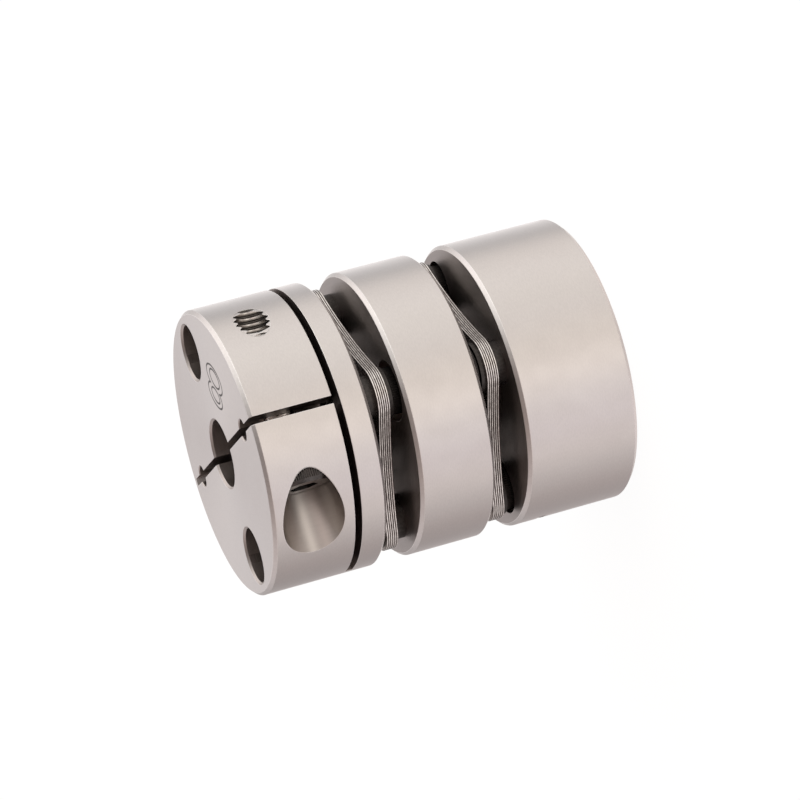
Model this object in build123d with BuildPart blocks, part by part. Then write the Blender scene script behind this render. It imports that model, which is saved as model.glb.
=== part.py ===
"""Double disc shaft coupling, clamp type: two clamping hubs, a center sleeve, two leaf packs.

Millimetres. +Z is the shaft axis and points up. The origin is the centre of the lower hub's
outer face, on which the coupling stands. +X is the side on which the upper hub is split and
clamped. The lower hub is the same part turned half a turn about the Y direction, so its split
side is -X. The four disc screws of each pack stand on +X, +Y, -X and -Y.
"""
from build123d import *

import math
import os

# ---------------------------------------------------------------- driving dimensions
outer_diameter = 34.0      # hubs and sleeve alike
overall_length = 45.0
bore_diameter = 8.0
hub_length = 13.75
sleeve_length = 9.2
edge_chamfer = 0.4         # every outer edge of the hubs and the sleeve
mouth_chamfer = 0.25       # bore and access holes, where they open on an end face
drill_chamfer = 0.12       # the tap drills, where they open on an end face

# disc screws, washers and collars
screw_circle_inset = 4.6   # from the outer diameter to the disc screws' axes
disc_screw_diameter = 3.0
disc_screw_length = 6.0    # under the head
disc_head_diameter = 5.5
disc_head_height = 2.0
disc_head_chamfer = 0.25
disc_socket_width = 2.0    # across flats
disc_socket_depth = 1.1
disc_tap_drill = 2.5
washer_diameter = 6.2
washer_thickness = 0.5
collar_diameter = 5.2

# leaf packs
leaf_count = 6
leaf_thickness = 0.25
leaf_corner_radius = 3.5   # about each disc screw
leaf_side_hollow = 0.57    # how far each side is hollowed below the straight one
leaf_center_diameter = 15.0

# center sleeve
sleeve_bore_diameter = 15.0

# clamping hub
clamp_length = 9.8         # outer face to the groove
groove_width = 0.85
slit_width = 0.9
slit_overrun = 0.6         # the slit's deepest point below the groove's near wall
slit_deepest_inset = 6.0   # from the clamp side inward to that point
slit_runout_inset = 1.1    # from the far side inward to where the slit's floor meets the face

# clamp screw, a socket head cap screw
clamp_screw_diameter = 4.0
clamp_screw_length = 12.0
clamp_head_diameter = 7.0
clamp_head_height = 4.0
clamp_head_chamfer = 0.45
clamp_socket_width = 3.0
clamp_socket_depth = 2.0
clamp_screw_inset = 5.0    # from the clamp side inward to the screw's axis
clamp_screw_depth = 4.9    # below the hub's outer face
clamp_seat = 4.0           # from the split to the head's seat

# clearances
screw_clearance = 0.1      # round a screw in a plain hole, on the diameter
thread_clearance = 0.04    # round a screw in its thread, on the diameter
clamp_clearance = 0.5      # round the clamp screw in its plain half, on the diameter
counterbore_clearance = 0.4
access_clearance = 0.3     # round a washer in a hub's access hole, on the diameter
pocket_clearance = 1.0     # round a washer in a sleeve's pocket, on the diameter
pocket_end_clearance = 0.8  # between a disc screw's head and the floor of its pocket

# ---------------------------------------------------------------- what follows from them
outer_radius = outer_diameter / 2
screw_circle_radius = outer_radius - screw_circle_inset
gap_length = (overall_length - 2 * hub_length - sleeve_length) / 2
pack_thickness = leaf_count * leaf_thickness
collar_length = (gap_length - pack_thickness) / 2
access_hole_diameter = washer_diameter + access_clearance
head_pocket_diameter = washer_diameter + pocket_clearance
head_reach = washer_thickness + disc_head_height - collar_length
head_pocket_depth = head_reach + pocket_end_clearance
clamp_screw_x = outer_radius - clamp_screw_inset

# The slit is a chord cut by a slitting saw. Its radius follows from how deep the slit is at
# its deepest and how far from there its floor comes up to the outer face.
slit_depth = clamp_length + slit_overrun
saw_center_x = outer_radius - slit_deepest_inset
slit_half_chord = saw_center_x + outer_radius - slit_runout_inset
saw_radius = (slit_half_chord**2 + slit_depth**2) / (2 * slit_depth)
saw_height = saw_radius - slit_depth

# The sides of a leaf are shallow hollow arcs that meet the rounded corners tangentially.
leaf_waist = screw_circle_radius / math.sqrt(2) + leaf_corner_radius - leaf_side_hollow
side_radius = (
    leaf_corner_radius**2
    - leaf_waist**2
    + math.sqrt(2) * screw_circle_radius * leaf_waist
    - screw_circle_radius**2
) / (2 * leaf_waist - math.sqrt(2) * screw_circle_radius - 2 * leaf_corner_radius)
corner_center = Vector(screw_circle_radius, 0)
side_center = Vector(leaf_waist + side_radius, 0).rotate(Axis.Z, 45)
corner_end = corner_center + (side_center - corner_center).normalized() * leaf_corner_radius
corner_start = Vector(corner_end.X, -corner_end.Y)
corner_tip = Vector(screw_circle_radius + leaf_corner_radius, 0)
side_middle = Vector(leaf_waist, 0).rotate(Axis.Z, 45)
side_end = corner_start.rotate(Axis.Z, 90)

# The outer face of each hub, with its normal pointing away from the coupling. Turning the
# upper face half a turn about Y gives the lower one.
hub_faces = {
    "upper": Plane(origin=(0, 0, overall_length), x_dir=(1, 0, 0), z_dir=(0, 0, 1)),
    "lower": Plane(origin=(0, 0, 0), x_dir=(-1, 0, 0), z_dir=(0, 0, -1)),
}

os.makedirs("parts", exist_ok=True)


def save(part, name):
    """Label a finished piece and write it as the node of that name."""
    part.label = name
    export_step(part, f"parts/{name}.step")


def upright(face, x, depth, toward_minus_y):
    """A plane across the Y direction, at x and at a depth below a hub's outer face."""
    origin = face.origin + face.x_dir * x - face.z_dir * depth
    normal = (0, -1, 0) if toward_minus_y else (0, 1, 0)
    return Plane(origin=origin, x_dir=face.x_dir, z_dir=normal)


# ---------------------------------------------------------------- clamping hubs
for side, face in hub_faces.items():
    with BuildPart() as hub:
        # turned body with both outer edges chamfered
        with BuildSketch(face):
            Circle(outer_radius)
        extrude(amount=-hub_length)
        chamfer(hub.edges().filter_by(GeomType.CIRCLE), edge_chamfer)

        # shaft bore
        with BuildSketch(face):
            Circle(bore_diameter / 2)
        extrude(amount=-hub_length, mode=Mode.SUBTRACT)

        # access holes, through which the sleeve's disc screws are driven
        with BuildSketch(face):
            with PolarLocations(screw_circle_radius, 2, start_angle=90):
                Circle(access_hole_diameter / 2)
        extrude(amount=-hub_length, mode=Mode.SUBTRACT)

        # tap drill through the whole hub, and the full thread in the flange behind the groove
        with BuildSketch(face):
            with PolarLocations(screw_circle_radius, 2):
                Circle(disc_tap_drill / 2)
        extrude(amount=-hub_length, mode=Mode.SUBTRACT)
        with BuildSketch(face.offset(-hub_length)):
            with PolarLocations(screw_circle_radius, 2):
                Circle((disc_screw_diameter + thread_clearance) / 2)
        extrude(amount=hub_length - clamp_length - groove_width, mode=Mode.SUBTRACT)

        # broken edges where the bore and the holes open on the outer face
        outer_end = hub.faces().sort_by(Axis(face.origin, face.z_dir))[-1]
        mouths = outer_end.edges().filter_by(lambda edge: edge.radius < outer_radius / 2)
        holes = mouths.filter_by(lambda edge: edge.radius > disc_tap_drill)
        drills = mouths.filter_by(lambda edge: edge.radius < disc_tap_drill)
        chamfer(holes, mouth_chamfer)
        chamfer(drills, drill_chamfer)

        # groove that frees the clamp from the flange, sawn in from the clamp side to the axis
        with BuildSketch(face.offset(-clamp_length)):
            Rectangle(outer_diameter, outer_diameter + 2, align=(Align.MIN, Align.CENTER))
        extrude(amount=-groove_width, mode=Mode.SUBTRACT)

        # slit: deep at the clamp side and across the bore, its floor rising to the far side
        # as the saw leaves it
        with BuildSketch(upright(face, 0, 0, True)):
            with Locations((saw_center_x, saw_height)):
                Circle(saw_radius)
        extrude(amount=slit_width / 2, both=True, mode=Mode.SUBTRACT)

        # clamp screw: counterbore and plain hole on the -Y half, thread on the +Y half
        with BuildSketch(upright(face, clamp_screw_x, clamp_screw_depth, True).offset(clamp_seat)):
            Circle((clamp_head_diameter + counterbore_clearance) / 2)
        extrude(amount=outer_radius, mode=Mode.SUBTRACT)
        with BuildSketch(upright(face, clamp_screw_x, clamp_screw_depth, True)):
            Circle((clamp_screw_diameter + clamp_clearance) / 2)
        extrude(amount=clamp_seat, mode=Mode.SUBTRACT)
        with BuildSketch(upright(face, clamp_screw_x, clamp_screw_depth, False)):
            Circle((clamp_screw_diameter + thread_clearance) / 2)
        extrude(amount=outer_radius, mode=Mode.SUBTRACT)
    save(hub.part, f"{side}_hub")

# ---------------------------------------------------------------- center sleeve
sleeve_bottom = hub_length + gap_length
with BuildPart() as sleeve:
    with BuildSketch(Plane.XY.offset(sleeve_bottom)):
        Circle(outer_radius)
    extrude(amount=sleeve_length)
    chamfer(sleeve.edges().filter_by(GeomType.CIRCLE), edge_chamfer)
    # shaft clearance and the threads of the disc screws
    with BuildSketch(Plane.XY.offset(sleeve_bottom)):
        Circle(sleeve_bore_diameter / 2)
        with PolarLocations(screw_circle_radius, 2, start_angle=90):
            Circle((disc_screw_diameter + thread_clearance) / 2)
    extrude(amount=sleeve_length, mode=Mode.SUBTRACT)
    # pockets that clear the heads of the screws driven into the hubs
    with BuildSketch(Plane.XY.offset(sleeve_bottom)):
        with PolarLocations(screw_circle_radius, 2):
            Circle(head_pocket_diameter / 2)
    extrude(amount=head_pocket_depth, mode=Mode.SUBTRACT)
    with BuildSketch(Plane.XY.offset(sleeve_bottom + sleeve_length)):
        with PolarLocations(screw_circle_radius, 2):
            Circle(head_pocket_diameter / 2)
    extrude(amount=-head_pocket_depth, mode=Mode.SUBTRACT)
save(sleeve.part, "center_sleeve")

# ---------------------------------------------------------------- leaf packs and their bolting
for side, face in hub_faces.items():
    flange = face.offset(-hub_length)          # the hub's inner face, normal to the hub
    pack_top = flange.offset(-collar_length)   # the pack's face on the hub's side

    for number in range(1, leaf_count + 1):
        with BuildPart() as leaf:
            with BuildSketch(pack_top.offset(-leaf_thickness * number)):
                with BuildLine():
                    for turn in (0, 90, 180, 270):
                        ThreePointArc(
                            corner_start.rotate(Axis.Z, turn),
                            corner_tip.rotate(Axis.Z, turn),
                            corner_end.rotate(Axis.Z, turn),
                        )
                        ThreePointArc(
                            corner_end.rotate(Axis.Z, turn),
                            side_middle.rotate(Axis.Z, turn),
                            side_end.rotate(Axis.Z, turn),
                        )
                make_face()
                Circle(leaf_center_diameter / 2, mode=Mode.SUBTRACT)
                with PolarLocations(screw_circle_radius, 4):
                    Circle((disc_screw_diameter + screw_clearance) / 2, mode=Mode.SUBTRACT)
            extrude(amount=leaf_thickness)
        save(leaf.part, f"{side}_leaf_{number}")

    # Screws 1 and 3 hold the pack to the hub, with their heads towards the sleeve. Screws 2
    # and 4 hold it to the sleeve, with their heads in the hub's access holes.
    for number in range(1, 5):
        to_hub = number in (1, 3)
        spot = Vector(screw_circle_radius, 0).rotate(Axis.Z, 90 * (number - 1))
        origin = pack_top.from_local_coords(spot)
        if to_hub:
            seat = Plane(
                origin=origin - face.z_dir * pack_thickness,
                x_dir=face.x_dir,
                z_dir=face.z_dir * -1,
            )
        else:
            seat = Plane(origin=origin, x_dir=face.x_dir, z_dir=face.z_dir)

        with BuildPart() as collar:
            with BuildSketch(seat.offset(-pack_thickness)):
                Circle(collar_diameter / 2)
                Circle((disc_screw_diameter + screw_clearance) / 2, mode=Mode.SUBTRACT)
            extrude(amount=-collar_length)
        save(collar.part, f"{side}_collar_{number}")

        with BuildPart() as washer:
            with BuildSketch(seat):
                Circle(washer_diameter / 2)
                Circle((disc_screw_diameter + screw_clearance) / 2, mode=Mode.SUBTRACT)
            extrude(amount=washer_thickness)
        save(washer.part, f"{side}_washer_{number}")

        bearing = seat.offset(washer_thickness)
        with BuildPart() as screw:
            with BuildSketch(bearing):
                Circle(disc_head_diameter / 2)
            extrude(amount=disc_head_height)
            head_end = screw.faces().sort_by(Axis(seat.origin, seat.z_dir))[-1]
            chamfer(head_end.edges(), disc_head_chamfer)
            with BuildSketch(bearing):
                Circle(disc_screw_diameter / 2)
            extrude(amount=-disc_screw_length)
            with BuildSketch(bearing.offset(disc_head_height)):
                RegularPolygon(disc_socket_width / 2, 6, major_radius=False)
            extrude(amount=-disc_socket_depth, mode=Mode.SUBTRACT)
        save(screw.part, f"{side}_disc_screw_{number}")

# ---------------------------------------------------------------- clamp screws
for side, face in hub_faces.items():
    bearing = upright(face, clamp_screw_x, clamp_screw_depth, True).offset(clamp_seat)
    with BuildPart() as clamp_screw:
        with BuildSketch(bearing):
            Circle(clamp_head_diameter / 2)
        extrude(amount=clamp_head_height)
        with BuildSketch(bearing):
            Circle(clamp_screw_diameter / 2)
        extrude(amount=-clamp_screw_length)
        ends = clamp_screw.faces().sort_by(Axis.Y)
        chamfer(ends[0].edges() + ends[-1].edges(), clamp_head_chamfer)
        with BuildSketch(bearing.offset(clamp_head_height)):
            RegularPolygon(clamp_socket_width / 2, 6, major_radius=False)
        extrude(amount=-clamp_socket_depth, mode=Mode.SUBTRACT)
    save(clamp_screw.part, f"{side}_clamp_screw")

print(f"gap {gap_length:.3f}, collar {collar_length:.3f}, leaf side radius {side_radius:.2f}")
print(f"saw radius {saw_radius:.2f}, sleeve pocket {head_pocket_depth:.3f} deep")
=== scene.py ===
# %% [markdown]
# # A double disc shaft coupling, dressed for its picture
#
# The coupling joins two 8 mm shafts. Two clamping hubs stand at its ends, a sleeve floats in
# the middle, and between them two packs of thin spring leaves bend when the shafts are not
# quite in line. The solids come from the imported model. This lesson gives each of them the
# finish that its machining left, and makes again the few pieces whose fine detail the
# solids leave out: the rounded leaf edges, the screw threads and the knurled screw heads.

import math

import bmesh
import bpy
from mathutils import Matrix, Quaternion, Vector


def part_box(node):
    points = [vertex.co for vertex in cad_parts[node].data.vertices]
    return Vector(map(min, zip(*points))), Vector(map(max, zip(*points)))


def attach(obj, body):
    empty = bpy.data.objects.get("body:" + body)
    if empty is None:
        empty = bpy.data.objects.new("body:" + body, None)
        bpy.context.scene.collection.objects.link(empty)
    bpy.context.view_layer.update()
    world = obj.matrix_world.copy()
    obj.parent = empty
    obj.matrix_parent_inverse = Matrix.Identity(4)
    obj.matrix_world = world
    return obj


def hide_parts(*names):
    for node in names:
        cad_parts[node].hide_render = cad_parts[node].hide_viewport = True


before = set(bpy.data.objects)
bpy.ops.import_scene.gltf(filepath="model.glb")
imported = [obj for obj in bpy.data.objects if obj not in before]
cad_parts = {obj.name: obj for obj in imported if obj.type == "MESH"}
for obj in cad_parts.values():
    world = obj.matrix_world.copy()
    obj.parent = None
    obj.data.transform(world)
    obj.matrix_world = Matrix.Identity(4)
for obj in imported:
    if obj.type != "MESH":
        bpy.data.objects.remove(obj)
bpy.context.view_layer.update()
MM = 0.001

# %% [markdown]
# ## The camera
#
# The coupling stands on its lower hub, with its shaft axis straight up. The camera looks at
# it from the clamp side, a little from above, and is rolled past a quarter turn, so that in
# the picture the coupling seems to lie on its side with its upper hub to the left. A long
# lens keeps the two ends nearly the same size. Saying where the camera is by a target, a
# distance and three angles is easier to read and to change than a matrix.

# %% Place the camera
target = Vector((0.07, 0.68, 22.62)) * MM
distance = 446.87 * MM
azimuth = math.radians(80.78)
elevation = math.radians(16.516)
roll = math.radians(-105.03)

backwards = Vector((
    math.sin(azimuth) * math.cos(elevation),
    -math.cos(azimuth) * math.cos(elevation),
    math.sin(elevation),
))
lens = bpy.data.cameras.new("camera")
lens.lens = 171.84
lens.sensor_width = 36.0
lens.clip_start = 0.01
lens.clip_end = 20.0
camera = bpy.data.objects.new("camera", lens)
camera.location = target + backwards * distance
camera.rotation_mode = "QUATERNION"
camera.rotation_quaternion = backwards.to_track_quat("Z", "Y") @ Quaternion((0, 0, 1), roll)
bpy.context.scene.collection.objects.link(camera)
bpy.context.scene.camera = camera
print("camera at", [round(v / MM, 1) for v in camera.location], "mm")

# %% [markdown]
# ## Shader maths written as Python
#
# A node tree is a formula drawn with wires. Two small classes let it be written as one. A
# `Wire` is the output of a node, and Python's own + - * / on it add the Math nodes. A
# `Graph` is the tree of a material or of the world, and its one method `add` makes any other
# node: its kind, its settings, and then the values or wires of its inputs. The setting
# "stops" is the list of a colour ramp's colours.

# %% Wire and Graph
class Wire:
    """An output socket that can be used in a Python expression."""

    def __init__(self, graph, socket):
        self.graph = graph
        self.socket = socket

    def output(self, name):
        """Another output of the same node."""
        return Wire(self.graph, self.socket.node.outputs[name])

    def math(self, operation, *others):
        inputs = dict(enumerate((self,) + others))
        return self.graph.add("ShaderNodeMath", {"operation": operation}, inputs)

    def __add__(self, other):
        return self.math("ADD", other)

    __radd__ = __add__

    def __mul__(self, other):
        return self.math("MULTIPLY", other)

    __rmul__ = __mul__

    def __sub__(self, other):
        return self.math("SUBTRACT", other)

    def __rsub__(self, other):
        return self.graph.add("ShaderNodeMath", {"operation": "SUBTRACT"}, {0: other, 1: self})

    def __truediv__(self, other):
        return self.math("DIVIDE", other)

    def smooth(self, low, high):
        """0 below low, 1 above high, and a smooth step between them."""
        settings = {"interpolation_type": "SMOOTHSTEP"}
        return self.graph.add(
            "ShaderNodeMapRange", settings, {"Value": self, "From Min": low, "From Max": high}
        )


class Graph:
    """The node tree of a material or of the world."""

    def __init__(self, tree):
        self.tree = tree
        tree.nodes.clear()

    def add(self, kind, settings=None, inputs=None, output=0):
        node = self.tree.nodes.new(kind)
        for name, value in (settings or {}).items():
            if name == "stops":
                self.set_stops(node.color_ramp.elements, value)
            else:
                setattr(node, name, value)
        for key, value in (inputs or {}).items():
            if isinstance(value, Wire):
                self.tree.links.new(value.socket, node.inputs[key])
            else:
                node.inputs[key].default_value = value
        return Wire(self, node.outputs[output] if len(node.outputs) else None)

    def set_stops(self, stops, colours):
        """Space the colours evenly along a ramp, the first at 0 and the last at 1."""
        stops.remove(stops[-1])
        for n, colour in enumerate(colours):
            position = n / (len(colours) - 1)
            stop = stops.new(position) if n else stops[0]
            stop.position = position
            stop.color = tuple(colour) + (1,)

    def combine(self, x, y, z):
        return self.add("ShaderNodeCombineXYZ", None, {"X": x, "Y": y, "Z": z})

    def blend(self, factor, a, b):
        """A colour between a and b."""
        return self.add(
            "ShaderNodeMix",
            {"data_type": "RGBA"},
            {"Factor": factor, 6: a, 7: b},
            output=2,
        )

    def dot(self, a, b):
        """How far two directions agree: 1 for the same, 0 for a right angle."""
        settings = {"operation": "DOT_PRODUCT"}
        return self.add("ShaderNodeVectorMath", settings, {0: a, 1: b}, output="Value")

    def noise(self, x, y, z, detail=2.0):
        """A smooth random pattern about one unit coarse, from 0 to 1."""
        return self.add(
            "ShaderNodeTexNoise",
            {"noise_dimensions": "3D"},
            {"Vector": self.combine(x, y, z), "Scale": 1.0, "Detail": detail},
        )


# %% [markdown]
# ## The studio
#
# Bare metal has hardly any colour of its own. What it shows is the room around it, so the
# room matters as much as the metal. This one is a white studio tent that is lit unevenly. A
# barrel that stands upright mirrors one level band of the tent, a little below the horizon,
# so that band is given 16 brightnesses on its way round. A roof band and a ground band, with
# 6 and 3, light the chamfers, the end faces and the holes. A colour ramp runs round each
# band, and each band fades softly upwards and downwards, because cloth has no hard rim in a
# turned surface. The cloth behind the camera is the brightest and a little warm, and what
# lies far behind the coupling on its screw side is dark, which draws its lower outline.
#
# The camera itself sees plain white in place of the tent. The metal sees that white too, as
# a veil over the whole tent, and anything clear would see it whole.

# %% Choose the brightness of the bands
# elevation, spread and the azimuth of the first brightness (all in degrees, from +X towards
# +Y), and then the brightnesses, evenly spaced all the way round
horizon_band = (-16, 16, 9.2, (
    (1.39, 1.30, 1.19), (1.11, 1.06, 1.01), (1.02, 0.98, 0.92), (0.99, 0.95, 0.91),
    (0.80, 0.76, 0.72), (0.18, 0.20, 0.22), (0.66, 0.66, 0.68), (1.32, 1.28, 1.26),
    (0.12, 0.10, 0.10), (0.04, 0.02, 0.02), (0.16, 0.12, 0.11), (0.48, 0.45, 0.44),
    (0.92, 0.86, 0.84), (1.10, 1.04, 1.08), (1.34, 1.29, 1.29), (1.76, 1.65, 1.54),
))
roof_band = (35, 30, 0, (
    (0.70, 0.54, 0.48), (2.48, 2.42, 2.34), (1.65, 1.56, 1.52),
    (1.02, 0.95, 0.96), (0.71, 0.60, 0.58), (0.62, 0.41, 0.34),
))
ground_band = (-60, 35, 0, ((0.59, 0.50, 0.45), (1.25, 1.11, 1.04), (1.19, 1.05, 1.04)))
bands = (horizon_band, roof_band, ground_band)
brightest = 2.5  # the ramps hold shares of this, because a ramp's colours stay under 1
veil = 0.2       # the share of plain white in what the metal sees
print("brightnesses in each band:", [len(band[-1]) for band in bands])


# %% Light the room
world = bpy.data.worlds.new("studio")
bpy.context.scene.world = world
world.use_nodes = True
studio = Graph(world.node_tree)
looking = studio.add("ShaderNodeTexCoord", output="Generated")
along = studio.add("ShaderNodeSeparateXYZ", None, {0: looking}, output="X")
turn = along.output("Y").math("ARCTAN2", along) / math.tau
up = along.output("Z").math("ARCSINE")
colour = (0.0, 0.0, 0.0)
for height, spread, start, tints in bands:
    stops = [[channel / brightest for channel in tint] for tint in tints + tints[:1]]
    along_band = (turn - start / 360).math("FRACT")
    cloth = studio.add("ShaderNodeValToRGB", {"stops": stops}, {0: along_band})
    sharpness = 1 / (1 - math.cos(math.radians(spread)))
    off_band = (up - math.radians(height)).math("COSINE") - 1
    fade = (off_band * sharpness).math("EXPONENT")
    glow = studio.add(
        "ShaderNodeVectorMath", {"operation": "SCALE"}, {0: cloth, "Scale": fade * brightest}
    )
    colour = studio.add("ShaderNodeVectorMath", {"operation": "ADD"}, {0: colour, 1: glow})

rays = studio.add("ShaderNodeLightPath", output="Is Camera Ray")
sees_white = rays + rays.output("Is Transmission Ray") + rays.output("Is Glossy Ray") * veil
room = studio.add("ShaderNodeBackground", None, {"Color": colour, "Strength": 1.0})
white = studio.add("ShaderNodeBackground", None, {"Color": (1, 1, 1, 1), "Strength": 1.0})
both = studio.add("ShaderNodeMixShader", None, {0: sees_white, 1: room, 2: white})
studio.add("ShaderNodeOutputWorld", None, {"Surface": both})
bpy.context.scene.view_settings.view_transform = "Standard"

# %% [markdown]
# ## The floor
#
# The coupling stands on a white table. The table glows just below white, and its little
# plain paint catches the light of the room on top of that, so it reads as white and still
# darkens by a trace where the coupling keeps the light away. It is left out of reflections,
# because the studio already says what the metal sees below itself.

# %% Lay the floor
table_glow = 0.93   # what the table gives out, where 1 is white
table_paint = 0.12  # the share of the room's light that it throws back
table_half = 3.0    # metres, far past the edge of the picture
floor_mesh = bpy.data.meshes.new("floor")
bm = bmesh.new()
bmesh.ops.create_grid(bm, x_segments=1, y_segments=1, size=table_half)
bm.to_mesh(floor_mesh)
bm.free()
floor = bpy.data.objects.new("floor", floor_mesh)
bpy.context.scene.collection.objects.link(floor)
floor.visible_glossy = False
floor.visible_diffuse = False
paint = bpy.data.materials.new("white_table")
paint.use_nodes = True
table = Graph(paint.node_tree)
glow = table.add("ShaderNodeEmission", None, {"Color": (1, 1, 1, 1), "Strength": table_glow})
matt = table.add("ShaderNodeBsdfDiffuse", None, {"Color": (table_paint,) * 3 + (1,)})
surface = table.add("ShaderNodeAddShader", None, {0: glow, 1: matt})
table.add("ShaderNodeOutputMaterial", None, {"Surface": surface})
floor_mesh.materials.append(paint)
print("floor", 2 * table_half, "m wide, glow", table_glow)


# %% [markdown]
# ## Bare metal
#
# Every surface here is bare metal, but each tool leaves its own marks. A lathe leaves fine
# grooves round the work, which tumbling then breaks into short marks. A drill leaves rings
# down its hole, and a saw leaves lines along its cut. One recipe covers them all. The marks
# come from a noise that changes fast across them and slowly along them. They tint the metal
# a little, change how rough it is and, where they are deep, tilt its surface. On a turned
# face the reflections are also smeared across the grooves, which is the shader's own
# anisotropy, turned a quarter.
#
# The edges of the real pieces are broken with a stone, which rounds them. A Bevel node bends
# the normal there, and the metal is painted lighter where the bent normal and the true one
# differ, as a highlight along each edge. A finish may also have a mark, a formula that says
# where the metal is dark, such as an engraved line, and the painted shade in the roots of a
# thread.

# %% The recipe for bare metal
# A broken edge is painted lighter, as a highlight.
edge_highlight_shade = 1.6          # how much lighter a broken edge is
# A mark is painted dark: an engraved line, and the shade at a thread's roots.
marked_shade = 0.12         # how dark a mark is
edge_highlight_bend = (0.01, 0.12)  # 1 less the cosine of the bend, where it begins and is full
rough_spread = 0.08         # how far the roughness wanders


def cut_metal(name, colour, roughness, grooves, grain, depth=0, smear=0, edge=0.12, mark=None):
    """A finish.

    grooves is how fast the tool's marks change along x, y, z and outwards, in marks per mm.
    grain is how much they tint the metal, and depth (mm) is how deep they are. edge (mm) is
    how wide the broken edges are. mark takes the graph and x, y, z in mm.
    """
    material = bpy.data.materials.new(name)
    material.use_nodes = True
    graph = Graph(material.node_tree)
    place = graph.add("ShaderNodeTexCoord", output="Object")
    axes = graph.add("ShaderNodeSeparateXYZ", None, {0: place}, output="X")
    x, y, z = axes / MM, axes.output("Y") / MM, axes.output("Z") / MM
    radius = (x * x + y * y).math("SQRT")
    cut = graph.noise(
        x * grooves[0], y * grooves[1], z * grooves[2] + radius * grooves[3], detail=2.0
    )
    cloud = graph.noise(x * 0.35, y * 0.35, z * 0.35, detail=1.0)

    def shade(factor):
        return tuple(min(0.95, c * factor) for c in colour) + (1,)

    base = graph.blend(cut.smooth(0.3, 0.7), shade(1 - grain), shade(1 + grain))
    rough = roughness + (cut - 0.5) * rough_spread + (cloud - 0.5) * rough_spread
    shape = {}
    if edge:
        normal = graph.add("ShaderNodeBevel", {"samples": 4}, {"Radius": edge * MM})
        true_normal = graph.add("ShaderNodeNewGeometry", output="Normal")
        # Painted highlight: the base colour is lighter where the Bevel node rounds an edge.
        painted_edge_highlight = (1 - graph.dot(normal, true_normal)).smooth(*edge_highlight_bend)
        base = graph.blend(painted_edge_highlight, base, shade(edge_highlight_shade))
        shape = {"Normal": normal}
    if mark:
        marked = mark(graph, x, y, z)
        base = graph.blend(marked, base, shade(marked_shade))
        rough = rough + marked * 0.2
    if depth:
        relief = {"Strength": 1.0, "Distance": depth * MM, "Height": cut}
        shape = {"Normal": graph.add("ShaderNodeBump", None, relief | shape)}
    metal = graph.add(
        "ShaderNodeBsdfPrincipled",
        None,
        {
            "Base Color": base,
            "Metallic": 1.0,
            "Roughness": rough,
            "Anisotropic": smear,
            "Anisotropic Rotation": 0.25 if smear else 0.0,
        }
        | shape,
    )
    graph.add("ShaderNodeOutputMaterial", None, {"Surface": metal})
    return material


# %% [markdown]
# ## The bore number
#
# A clamp hub carries the size of its bore, an 8, cut on its end face as a thin outline. The
# two rings of the numeral are four ellipses, which lie across the line from the bore to the
# corner between +X and +Y. An ellipse drawn as a line of even width needs the distance to
# it, which is nearly its own formula divided by how fast the formula changes. Where the two
# outer ellipses overlap, the smaller distance wins, so they join.

# %% Draw the numeral with ellipses
def numeral_eight(graph, x, y, z):
    """A mark that is 1 on the engraved line and 0 elsewhere."""
    diagonal = math.sqrt(0.5)
    never_zero = 0.001

    def ellipse(centre_x, centre_y, long_half, short_half):
        u = ((x - centre_x) - (y - centre_y)) * (diagonal / long_half)
        v = ((x - centre_x) + (y - centre_y)) * (diagonal / short_half)
        r = (u * u + v * v).math("SQRT")
        slope = (u * u / long_half**2 + v * v / short_half**2).math("SQRT")
        return (r - 1) * r / (slope + never_zero)

    outside = ellipse(6.96, 7.41, 2.66, 1.50).math("MINIMUM", ellipse(5.31, 5.90, 2.35, 1.29))
    inside = ellipse(7.11, 7.44, 1.65, 1.00).math("MINIMUM", ellipse(5.48, 5.86, 1.39, 0.79))
    nearest = outside.math("ABSOLUTE").math("MINIMUM", inside.math("ABSOLUTE"))
    line_core, line_rim = 0.07, 0.17  # mm from the middle of the line
    return 1 - nearest.smooth(line_core, line_rim)


# %% Finishes of the hubs and the sleeve
aluminium = (0.62, 0.59, 0.575)
# A darker aluminium for the faces between the parts and in the slit and groove: painted shade.
shaded_aluminium = (0.30, 0.268, 0.255)
lathe = {"grooves": (2.5, 2.5, 8, 6), "grain": 0.03, "smear": 0.6}
turned = cut_metal("turned", aluminium, 0.32, **lathe)
numbered = cut_metal("turned_and_numbered", aluminium, 0.32, **lathe, mark=numeral_eight)
faced = cut_metal("faced", shaded_aluminium, 0.34, (0.25, 0.25, 0, 6), 0.05, smear=0.4)
# The walls of the drilled holes and counterbores get a darker colour than the turned metal:
# painted shade inside them.
drilled = cut_metal("drilled", (0.44, 0.40, 0.38), 0.34, (0.5, 0.5, 4, 0), 0.04, edge=0)
counterbored = cut_metal(
    "counterbored", (0.50, 0.465, 0.44), 0.36, (0.5, 4, 0.5, 0), 0.02, edge=0
)
sawn = cut_metal("sawn", shaded_aluminium, 0.36, (0.5, 0.5, 7, 0), 0.12, depth=0.004)
# Painted shade: the roots of the clamp screw's hole are coloured near black, as the shade in
# them.
root_shade = cut_metal("painted_shade_root", (0.11, 0.10, 0.092), 0.40, (2, 2, 2, 0), 0.05, edge=0)
hub_finishes = [turned, numbered, faced, drilled, counterbored, sawn, root_shade]
TURNED, NUMBERED, FACED, DRILLED, COUNTERBORED, SAWN, ROOT_SHADE = range(7)
print("finishes:", [material.name for material in hub_finishes])

# %% [markdown]
# ## Copies that can be worked on
#
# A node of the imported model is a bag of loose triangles, and it must not be changed. A copy
# has its doubles merged first, and then its flat faces are made whole, so that each flat is
# one face and each edge of the real piece is one edge of the mesh.

# %% Copy a node, and turn a bmesh into a piece
merge_distance = 0.0005 * MM
flat_angle = math.radians(0.3)
sharp_angle = math.radians(35)


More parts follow.
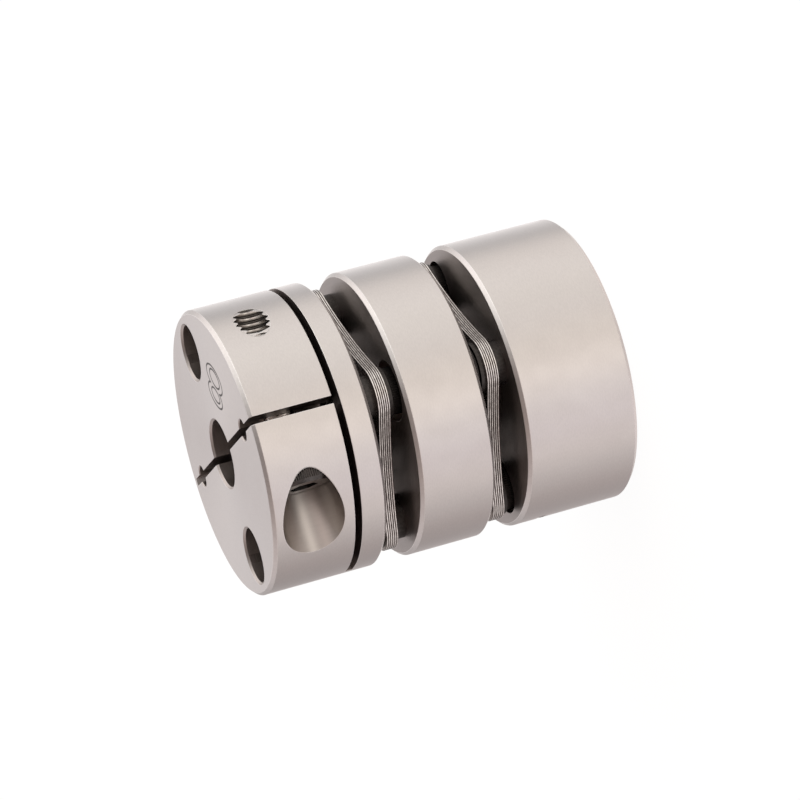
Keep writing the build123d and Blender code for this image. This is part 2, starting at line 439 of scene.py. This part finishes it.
def copy_of(node):
    """A node's mesh with its doubles merged and its flats made whole."""
    bm = bmesh.new()
    bm.from_mesh(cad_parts[node].data)
    bmesh.ops.remove_doubles(bm, verts=bm.verts, dist=merge_distance)
    bmesh.ops.dissolve_limit(bm, angle_limit=flat_angle, verts=bm.verts, edges=bm.edges)
    return bm


def piece(bm, name, materials, node=None):
    """Make the object, shade it smooth but for its sharp edges, and say what it is."""
    mesh = bpy.data.meshes.new(name)
    bm.to_mesh(mesh)
    bm.free()
    for extra in ("custom_normal", "sharp_edge", "sharp_face"):
        if extra in mesh.attributes:
            mesh.attributes.remove(mesh.attributes[extra])
    mesh.shade_smooth()
    mesh.set_sharp_from_angle(angle=sharp_angle)
    for material in materials:
        mesh.materials.append(material)
    made = bpy.data.objects.new(name, mesh)
    bpy.context.scene.collection.objects.link(made)
    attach(made, "root")
    if node:
        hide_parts(node)
    print(name, len(mesh.polygons), "faces")
    return made


# %% [markdown]
# ## Hubs and sleeve
#
# Each hub is turned, bored and sawn. The faces of the copy are sorted by where they lie.
# Those that touch the outside of the barrel, or the outer end, are turned. The end that
# faces the leaves was only faced off before assembly. Of those round a clamp screw's axis,
# the wide ones are counterbored and the narrow ones are the roots of its thread. Those beside
# the slit and in the groove are sawn, and the rest are drilled. All but the turned faces
# are painted darker than the turned metal, as the shade that falls between the parts and
# inside the slit and the holes, and the roots of the thread are painted near black.

# %% Sort the faces by the tool that made them
outer_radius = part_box("upper_hub")[1].x
barrel_skin = 0.45 * MM         # a little more than the chamfer of the outer edges
counterbore_radius = 3.75 * MM  # these three are a little over the real ones
tapped_radius = 2.05 * MM
half_slit = 0.46 * MM
near = 0.01 * MM
along_axis = 0.99               # of a face whose normal points along an axis


def clamp_axis(side):
    """x and z of the clamp screw's axis, which runs along Y."""
    low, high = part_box(f"{side}_clamp_screw")
    return (low.x + high.x) / 2, (low.z + high.z) / 2


def finish_of(face, end, inner_end, end_finish, axis=None):
    """Which finish a face has, from where its corners are."""
    spots = [v.co for v in face.verts]
    if all(abs(p.z - end) < near for p in spots):
        return end_finish
    if all(abs(p.z - inner_end) < near for p in spots):
        return FACED
    if all(p.xy.length > outer_radius - barrel_skin for p in spots):
        return TURNED
    if axis is None:
        return DRILLED
    off_axis = max(math.hypot(p.x - axis[0], p.z - axis[1]) for p in spots)
    if off_axis < counterbore_radius:
        return COUNTERBORED if off_axis > tapped_radius else ROOT_SHADE
    in_slit = all(abs(p.y) < half_slit for p in spots)
    if in_slit or max(abs(face.normal.x), abs(face.normal.z)) > along_axis:
        return SAWN
    return DRILLED


# %% Dress the hubs
for side in ("upper", "lower"):
    node = f"{side}_hub"
    low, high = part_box(node)
    end, inner_end = (high.z, low.z) if side == "upper" else (low.z, high.z)
    end_finish = NUMBERED if side == "upper" else TURNED
    bm = copy_of(node)
    for face in bm.faces:
        face.material_index = finish_of(face, end, inner_end, end_finish, clamp_axis(side))
    piece(bm, f"{side}_hub_machined", hub_finishes, node)

# %% Dress the sleeve
low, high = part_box("center_sleeve")
bm = copy_of("center_sleeve")
for face in bm.faces:
    face.material_index = finish_of(face, high.z, low.z, FACED)
piece(bm, "center_sleeve_machined", hub_finishes, "center_sleeve")

# %% [markdown]
# ## Spring leaves
#
# The leaves are blanked from spring steel a quarter of a millimetre thick, and tumbled,
# which rounds their edges. Stacked, the rounded edges leave a narrow crevice between one leaf
# and the next. A bevel along the outline of each leaf rounds it, and the colour of the edge
# is painted dark towards both faces of its leaf, with an uneven border, as the shade in
# those crevices.

# %% Finishes of the leaves
leaf_low, leaf_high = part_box("upper_leaf_1")
leaf_thickness = (leaf_high.z - leaf_low.z) / MM
spring = cut_metal("spring_steel", (0.60, 0.57, 0.55), 0.28, (3, 3, 3, 0), 0.04, edge=0)
print("a leaf is", round(leaf_thickness, 3), "mm thick")


def blanked_edge(side):
    """The edge of a pack of leaves, bright in the middle of each leaf, with painted shade
    between leaves.
    """
    pack_bottom = min(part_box(f"{side}_leaf_{number}")[0].z for number in (1, 6)) / MM
    material = bpy.data.materials.new(f"{side}_blanked_edge")
    material.use_nodes = True
    graph = Graph(material.node_tree)
    place = graph.add("ShaderNodeTexCoord", output="Object")
    axes = graph.add("ShaderNodeSeparateXYZ", None, {0: place}, output="X")
    x, y, z = axes / MM, axes.output("Y") / MM, axes.output("Z") / MM
    height = (z - pack_bottom) / leaf_thickness
    layer = height.math("FLOOR")
    off_middle = ((height - layer) - 0.5).math("ABSOLUTE") * 2
    ragged = graph.noise(x * 0.7, y * 0.7, layer * 7.3)
    # Painted shade: the edge is dark towards both faces of its leaf, where the crevice is.
    unshaded_middle = 1 - (off_middle + (ragged - 0.5) * 0.4).smooth(0.38, 0.64)
    sparkle = graph.noise(x * 1.4, y * 1.4, layer * 5.1)
    bright = graph.blend(sparkle.smooth(0.3, 0.7), (0.58, 0.55, 0.53, 1), (0.88, 0.85, 0.82, 1))
    base = graph.blend(unshaded_middle, (0.07, 0.06, 0.055, 1), bright)
    relief = {"Strength": 0.5, "Distance": 0.02 * MM, "Height": sparkle}
    look = {
        "Base Color": base,
        "Metallic": 1.0,
        "Roughness": 0.45 - unshaded_middle * 0.2,
        "Normal": graph.add("ShaderNodeBump", None, relief),
    }
    metal = graph.add("ShaderNodeBsdfPrincipled", None, look)
    graph.add("ShaderNodeOutputMaterial", None, {"Surface": metal})
    return material


# %% Round the leaf edges
leaf_edge = 0.09 * MM
rim_angle = math.radians(60)  # a leaf's outline is sharper than this, and its bends aren't
flat_side = 0.95              # of a face on the flat of a leaf, the least height of its normal
for side in ("upper", "lower"):
    edge_finish = blanked_edge(side)
    for number in range(1, 7):
        node = f"{side}_leaf_{number}"
        bm = copy_of(node)
        rims = [e for e in bm.edges if e.is_manifold and e.calc_face_angle() > rim_angle]
        bmesh.ops.bevel(
            bm,
            geom=rims,
            offset=leaf_edge,
            offset_type="OFFSET",
            segments=3,
            profile=0.5,
            affect="EDGES",
            material=-1,
        )
        for face in bm.faces:
            face.material_index = 0 if abs(face.normal.z) > flat_side else 1
        piece(bm, f"{node}_tumbled", [spring, edge_finish], node)

# %% [markdown]
# ## Socket head screws
#
# All ten screws are socket head cap screws, blackened in oil. The solids give their sizes.
# What they leave out is the straight knurl round the head, which a wet finger turns, and the
# thread. The clamp screws are turned often, so the black is worn off their threads. A cap
# grows upwards from a circle by extruding its top face and scaling the new rim, and the old
# face is taken out, because it would be a wall inside the metal. For the knurl, every second
# corner of the rim is drawn in a little before the next step, and let out again at the
# chamfer. The socket is a hexagonal hole, which a Boolean cuts. The thread is one tooth,
# spun round the shank while it climbs.

# %% Growing, threading and cutting
def grow(bm, cap, height, scale=1.0):
    """Extrude a cap upwards by a height and scale its rim. Returns the new cap."""
    has_walls = any(len(edge.link_faces) > 1 for edge in cap.edges)
    made = bmesh.ops.extrude_face_region(bm, geom=[cap])["geom"]
    if has_walls:
        bmesh.ops.delete(bm, geom=[cap], context="FACES_ONLY")
    cap = next(part for part in made if isinstance(part, bmesh.types.BMFace))
    bmesh.ops.translate(bm, vec=(0, 0, height), verts=cap.verts)
    bmesh.ops.scale(bm, vec=(scale, scale, 1), verts=cap.verts)
    return cap


def disc(bm, radius, z, segments):
    """A flat round face about the Z axis."""
    place = Matrix.Translation((0, 0, z))
    made = bmesh.ops.create_circle(
        bm, cap_ends=True, segments=segments, radius=radius, matrix=place
    )
    return made["verts"][0].link_faces[0]


def thread(bm, root, crest, pitch, start, end, root_half, crest_half):
    """A right-handed ridge from start to end along Z, on the side of the crest."""
    corners = [
        bm.verts.new((root, 0, start - root_half)),
        bm.verts.new((root, 0, start + root_half)),
        bm.verts.new((crest, 0, start + crest_half)),
        bm.verts.new((crest, 0, start - crest_half)),
    ]
    tooth = bm.faces.new(corners)
    steps_a_turn = 24
    steps = round((end - start) / pitch * steps_a_turn)
    bmesh.ops.spin(
        bm,
        geom=[tooth],
        cent=(0, 0, 0),
        axis=(0, 0, 1),
        dvec=(0, 0, pitch / steps_a_turn),
        angle=math.tau * steps / steps_a_turn,
        steps=steps,
        use_duplicate=False,
    )


def boolean(bm, tool, operation):
    """Cut bm by the tool, or keep what they share. Both are used up."""
    solids = []
    for number, part in enumerate((bm, tool)):
        mesh = bpy.data.meshes.new(f"solid_{number}")
        bmesh.ops.recalc_face_normals(part, faces=part.faces)
        part.to_mesh(mesh)
        part.free()
        solids.append(bpy.data.objects.new(mesh.name, mesh))
        bpy.context.scene.collection.objects.link(solids[-1])
    cut = solids[0].modifiers.new("cut", "BOOLEAN")
    cut.operation = operation
    cut.solver = "EXACT"
    cut.object = solids[1]
    shown = solids[0].evaluated_get(bpy.context.evaluated_depsgraph_get())
    result = bmesh.new()
    result.from_mesh(shown.to_mesh())
    shown.to_mesh_clear()
    for solid in solids:
        mesh = solid.data
        bpy.data.objects.remove(solid)
        bpy.data.meshes.remove(mesh)
    return result


# %% One socket head screw
knurl_pitch = 0.275 * MM
knurl_depth = 0.09 * MM
foot = 0.1 * MM          # the little chamfer under the head, and how far the shank goes in
plain_band = 0.15 * MM   # above that chamfer, before the knurl
tip_chamfer = 0.25 * MM


def socket_screw(head_radius, head_height, socket_width, socket_depth, radius, length, pitch):
    """A screw along Z, its head's seat at 0 and its head upwards, in metres."""
    bm = bmesh.new()
    teeth = round(math.tau * head_radius / knurl_pitch)
    chamfer = 0.12 * head_radius
    cap = disc(bm, head_radius - foot, 0, teeth * 2)
    cap = grow(bm, cap, foot, head_radius / (head_radius - foot))
    cap = grow(bm, cap, plain_band)
    knurl = 1 - knurl_depth / head_radius
    bmesh.ops.scale(bm, vec=(knurl, knurl, 1), verts=list(cap.verts)[::2])
    cap = grow(bm, cap, head_height - chamfer - foot - plain_band)
    cap = grow(bm, cap, chamfer, (head_radius - chamfer) / head_radius)
    top_radius = head_radius - chamfer - knurl_depth / 2
    drawn_in = [v for v in cap.verts if v.co.xy.length < top_radius]
    bmesh.ops.scale(bm, vec=(1 / knurl, 1 / knurl, 1), verts=drawn_in)
    hole = bmesh.new()
    corner = socket_width / math.sqrt(3)
    top = disc(hole, corner, head_height - socket_depth, 6)
    grow(hole, top, socket_depth + 1 * MM)
    bm = boolean(bm, hole, "DIFFERENCE")

    core = radius - 0.61 * pitch
    tip = disc(bm, core - tip_chamfer, -length, 32)
    tip = grow(bm, tip, tip_chamfer, core / (core - tip_chamfer))
    grow(bm, tip, length - tip_chamfer + foot)
    thread(
        bm,
        root=core - 0.03 * MM,
        crest=radius - 0.01 * MM,
        pitch=pitch,
        start=pitch / 2 - length,
        end=-pitch / 2,
        root_half=pitch * 0.44,
        crest_half=pitch * 0.07,
    )
    bmesh.ops.recalc_face_normals(bm, faces=bm.faces)
    return bm


# %% Make and place the ten screws
black_steel = cut_metal(
    "black_steel", (0.085, 0.079, 0.076), 0.30, (5, 5, 5, 0), 0.2, edge=0
)
worn_steel = cut_metal("worn_thread", (0.80, 0.77, 0.74), 0.22, (3, 3, 3, 0), 0.15, edge=0)
# A darker copy of the black steel for the disc screws, which stand between the parts: painted
# shade.
shaded_black_steel = cut_metal(
    "black_disc_screw_in_shade", (0.05, 0.046, 0.044), 0.42, (5, 5, 5, 0), 0.2, edge=0
)


def place_screw(bm, node, seat, towards_head, head_finish, thread_finish):
    """Turn the screw's Z axis to where its head points, and put its seat in place."""
    for face in bm.faces:
        face.material_index = 0 if face.calc_center_median().z > 0 else 1
    turn = Vector((0, 0, 1)).rotation_difference(towards_head).to_matrix().to_4x4()
    bm.transform(Matrix.Translation(seat) @ turn)
    piece(bm, f"{node}_threaded", [head_finish, thread_finish], node)


for side in ("upper", "lower"):
    node = f"{side}_clamp_screw"
    low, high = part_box(node)
    axis_x, axis_z = clamp_axis(side)
    head_height = 4 * MM
    bm = socket_screw(
        head_radius=3.5 * MM,
        head_height=head_height,
        socket_width=3 * MM,
        socket_depth=2 * MM,
        radius=2 * MM,
        length=high.y - low.y - head_height,
        pitch=0.7 * MM,
    )
    seat = Vector((axis_x, low.y + head_height, axis_z))
    place_screw(bm, node, seat, Vector((0, -1, 0)), black_steel, worn_steel)
    for number in range(1, 5):
        node = f"{side}_disc_screw_{number}"
        low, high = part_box(node)
        head_height = 2 * MM
        bm = socket_screw(
            head_radius=2.75 * MM,
            head_height=head_height,
            socket_width=2 * MM,
            socket_depth=1.1 * MM,
            radius=1.5 * MM,
            length=high.z - low.z - head_height,
            pitch=0.5 * MM,
        )
        up = (side == "upper") == (number in (2, 4))
        seat_z = high.z - head_height if up else low.z + head_height
        seat = Vector(((low.x + high.x) / 2, (low.y + high.y) / 2, seat_z))
        place_screw(bm, node, seat, Vector((0, 0, 1 if up else -1)), shaded_black_steel, shaded_black_steel)

# %% [markdown]
# ## The thread of the clamp screw's hole
#
# The clamp screw ends inside its hole, and the thread runs on to the outside of the barrel,
# where it comes out as a ragged edge. The ridge is spun as the screw's is, but with its
# crest inwards, and a Boolean keeps what lies inside the barrel. Where the barrel cuts the
# ridge, it has the barrel's own finish, and its flanks are painted darker towards the root,
# as the shade that falls there.

# %% Thread the holes
def thread_roots(axis_x, axis_z):
    """A mark of painted shade, darker away from the thread's axis, towards the roots."""
    shade_start, shade_full = 1.75, 1.98  # mm from the axis

    def roots(graph, x, y, z):
        across, along = x - axis_x / MM, z - axis_z / MM
        radius = (across * across + along * along).math("SQRT")
        return radius.smooth(shade_start, shade_full) * 0.9

    return roots


for side in ("upper", "lower"):
    screw_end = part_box(f"{side}_clamp_screw")[1].y
    axis_x, axis_z = clamp_axis(side)
    mark = thread_roots(axis_x, axis_z)
    tapped = cut_metal(
        f"{side}_tapped", (0.56, 0.53, 0.50), 0.28, (2, 2, 2, 0), 0.05, edge=0, mark=mark
    )
    bm = bmesh.new()
    pitch = 0.7 * MM
    thread(
        bm,
        root=2.06 * MM,
        crest=1.64 * MM,
        pitch=pitch,
        start=screw_end + pitch,
        end=outer_radius,
        root_half=pitch * 0.46,
        crest_half=pitch * 0.11,
    )
    turn = Matrix.Rotation(math.radians(-90), 4, "X")
    bm.transform(Matrix.Translation((axis_x, 0, axis_z)) @ turn)
    barrel = bmesh.new()
    cap = disc(barrel, outer_radius - near, axis_z - 4 * MM, 256)
    grow(barrel, cap, 8 * MM)
    bm = boolean(bm, barrel, "INTERSECT")
    for face in bm.faces:
        on_barrel = all(v.co.xy.length > outer_radius - 2 * near for v in face.verts)
        face.material_index = 1 if on_barrel else 0
    piece(bm, f"{side}_hub_tapped_thread", [tapped, turned], None)

# %% [markdown]
# ## Washers and collars
#
# The washers and collars are plain turned rings, coloured near black. Their solids have the
# right shape, so they keep them and only get the metal.

# %% Blacken the washers and collars
plain_steel = cut_metal("black_plain", (0.06, 0.055, 0.052), 0.40, (3, 3, 3, 0), 0.2, edge=0)
for name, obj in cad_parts.items():
    if "collar" in name or "washer" in name:
        obj.data.materials.clear()
        obj.data.materials.append(plain_steel)
